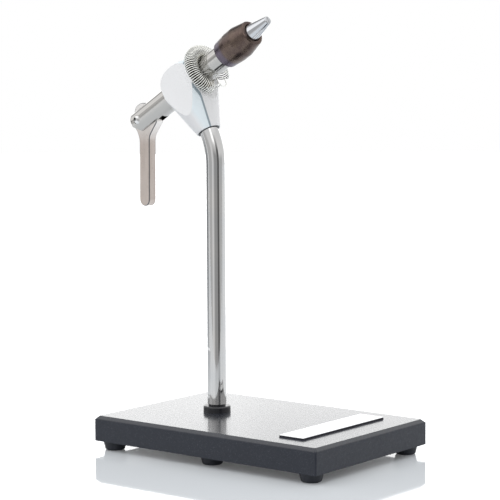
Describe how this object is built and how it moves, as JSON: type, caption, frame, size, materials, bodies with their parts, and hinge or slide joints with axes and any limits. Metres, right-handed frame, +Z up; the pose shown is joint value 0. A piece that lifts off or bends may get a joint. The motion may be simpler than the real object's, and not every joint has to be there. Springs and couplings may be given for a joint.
{
  "type": "fly tying vise",
  "caption": "Pedestal vise that holds a small hook: weighted base, bent post, turning barrel, cam lever that closes two half-cone jaws in a taper sleeve, coil-spring material clip",
  "frame": {"origin": "middle of the bounding box at the level of the surface that the feet stand on", "axes": "+Z up, +X along the base toward the jaws, +Y toward the back of the base"},
  "size_m": [0.1534, 0.0926, 0.2159],
  "materials": {
    "base_coat": "fine textured black powder coat, satin",
    "rubber": "matte black rubber",
    "plate": "bright brushed plate",
    "black_steel": "black oxide, satin",
    "stainless": "satin stainless, drawn along its length",
    "zinc_steel": "plated fastener",
    "head_alloy": "very pale satin aluminium",
    "bronze": "plain oiled bronze",
    "barrel_steel": "polished stainless",
    "lever_steel": "warm grey blasted steel",
    "nylon": "plain nylon",
    "spring_steel": "bright spring wire",
    "sleeve_brown": "satin dark brown anodised finish",
    "jaw_steel": "polished hardened steel",
    "oring": "black rubber"
  },
  "bodies": {
    "stand": {"base_plate": "base_coat", "name_plate": "plate", "foot_front_left": "rubber", "foot_front_middle": "rubber", "foot_front_right": "rubber", "foot_back_left": "rubber", "foot_back_middle": "rubber", "foot_back_right": "rubber", "post_collar": "black_steel", "post": "stainless", "post_screw": "zinc_steel", "post_washer": "zinc_steel", "head": "head_alloy", "bush_front": "bronze", "bush_rear": "bronze", "head_screw": "black_steel", "drag_screw": "black_steel", "drag_plug": "nylon"},
    "barrel_body": {"barrel": "barrel_steel", "lever_pin": "stainless", "rod_guide": "bronze", "return_spring": "spring_steel", "material_clip": "spring_steel"},
    "lever_body": {"lever": "lever_steel"},
    "rod_body": {"push_rod": "stainless", "cam_pad": "stainless", "jaw_pin": "stainless"},
    "left_jaw": {"jaw_left": "jaw_steel", "jaw_spring": "spring_steel"},
    "right_jaw": {"jaw_right": "jaw_steel"},
    "sleeve_carrier": {"sleeve_ring": "oring"},
    "sleeve_body": {"jaw_sleeve": "sleeve_brown"}
  },
  "joints": [
    {"name": "barrel_rotation", "type": "hinge", "parent": "stand", "child": "barrel_body", "pos_m": [-0.0375, 0.00142, 0.18312], "axis": [0.8634, -0.0679, 0.5], "continuous": true},
    {"name": "lever_swing", "type": "hinge", "parent": "barrel_body", "child": "lever_body", "pos_m": [-0.06974, 0.00396, 0.16445], "axis": [0.0785, 0.9969, 0], "range_deg": [0, 100.01]},
    {"name": "rod_slide", "type": "slide", "parent": "barrel_body", "child": "rod_body", "axis": [0.8634, -0.0679, 0.5], "range_m": [-0.00227, 0]},
    {"name": "jaw_left_open", "type": "hinge", "parent": "rod_body", "child": "left_jaw", "pos_m": [-0.00901, -0.00082, 0.19962], "axis": [-0.4985, 0.0392, 0.866], "range_deg": [-1.6, 0]},
    {"name": "jaw_right_open", "type": "hinge", "parent": "rod_body", "child": "right_jaw", "pos_m": [-0.00901, -0.00082, 0.19962], "axis": [-0.4985, 0.0392, 0.866], "range_deg": [0, 1.6]},
    {"name": "sleeve_advance", "type": "slide", "parent": "barrel_body", "child": "sleeve_carrier", "axis": [0.8634, -0.0679, 0.5], "range_m": [0, 0.0016]},
    {"name": "sleeve_turn", "type": "hinge", "parent": "sleeve_carrier", "child": "sleeve_body", "pos_m": [-0.0375, 0.00142, 0.18312], "axis": [0.8634, -0.0679, 0.5], "range_deg": [0, 720.04]}
  ],
  "couplings": [
    {"joint": "lever_swing", "follows": "rod_slide", "rad_per_m": -768.87},
    {"joint": "jaw_left_open", "follows": "rod_slide", "rad_per_m": 12.302},
    {"joint": "jaw_right_open", "follows": "rod_slide", "rad_per_m": -12.302},
    {"joint": "sleeve_turn", "follows": "sleeve_advance", "rad_per_m": 7854}
  ]
}
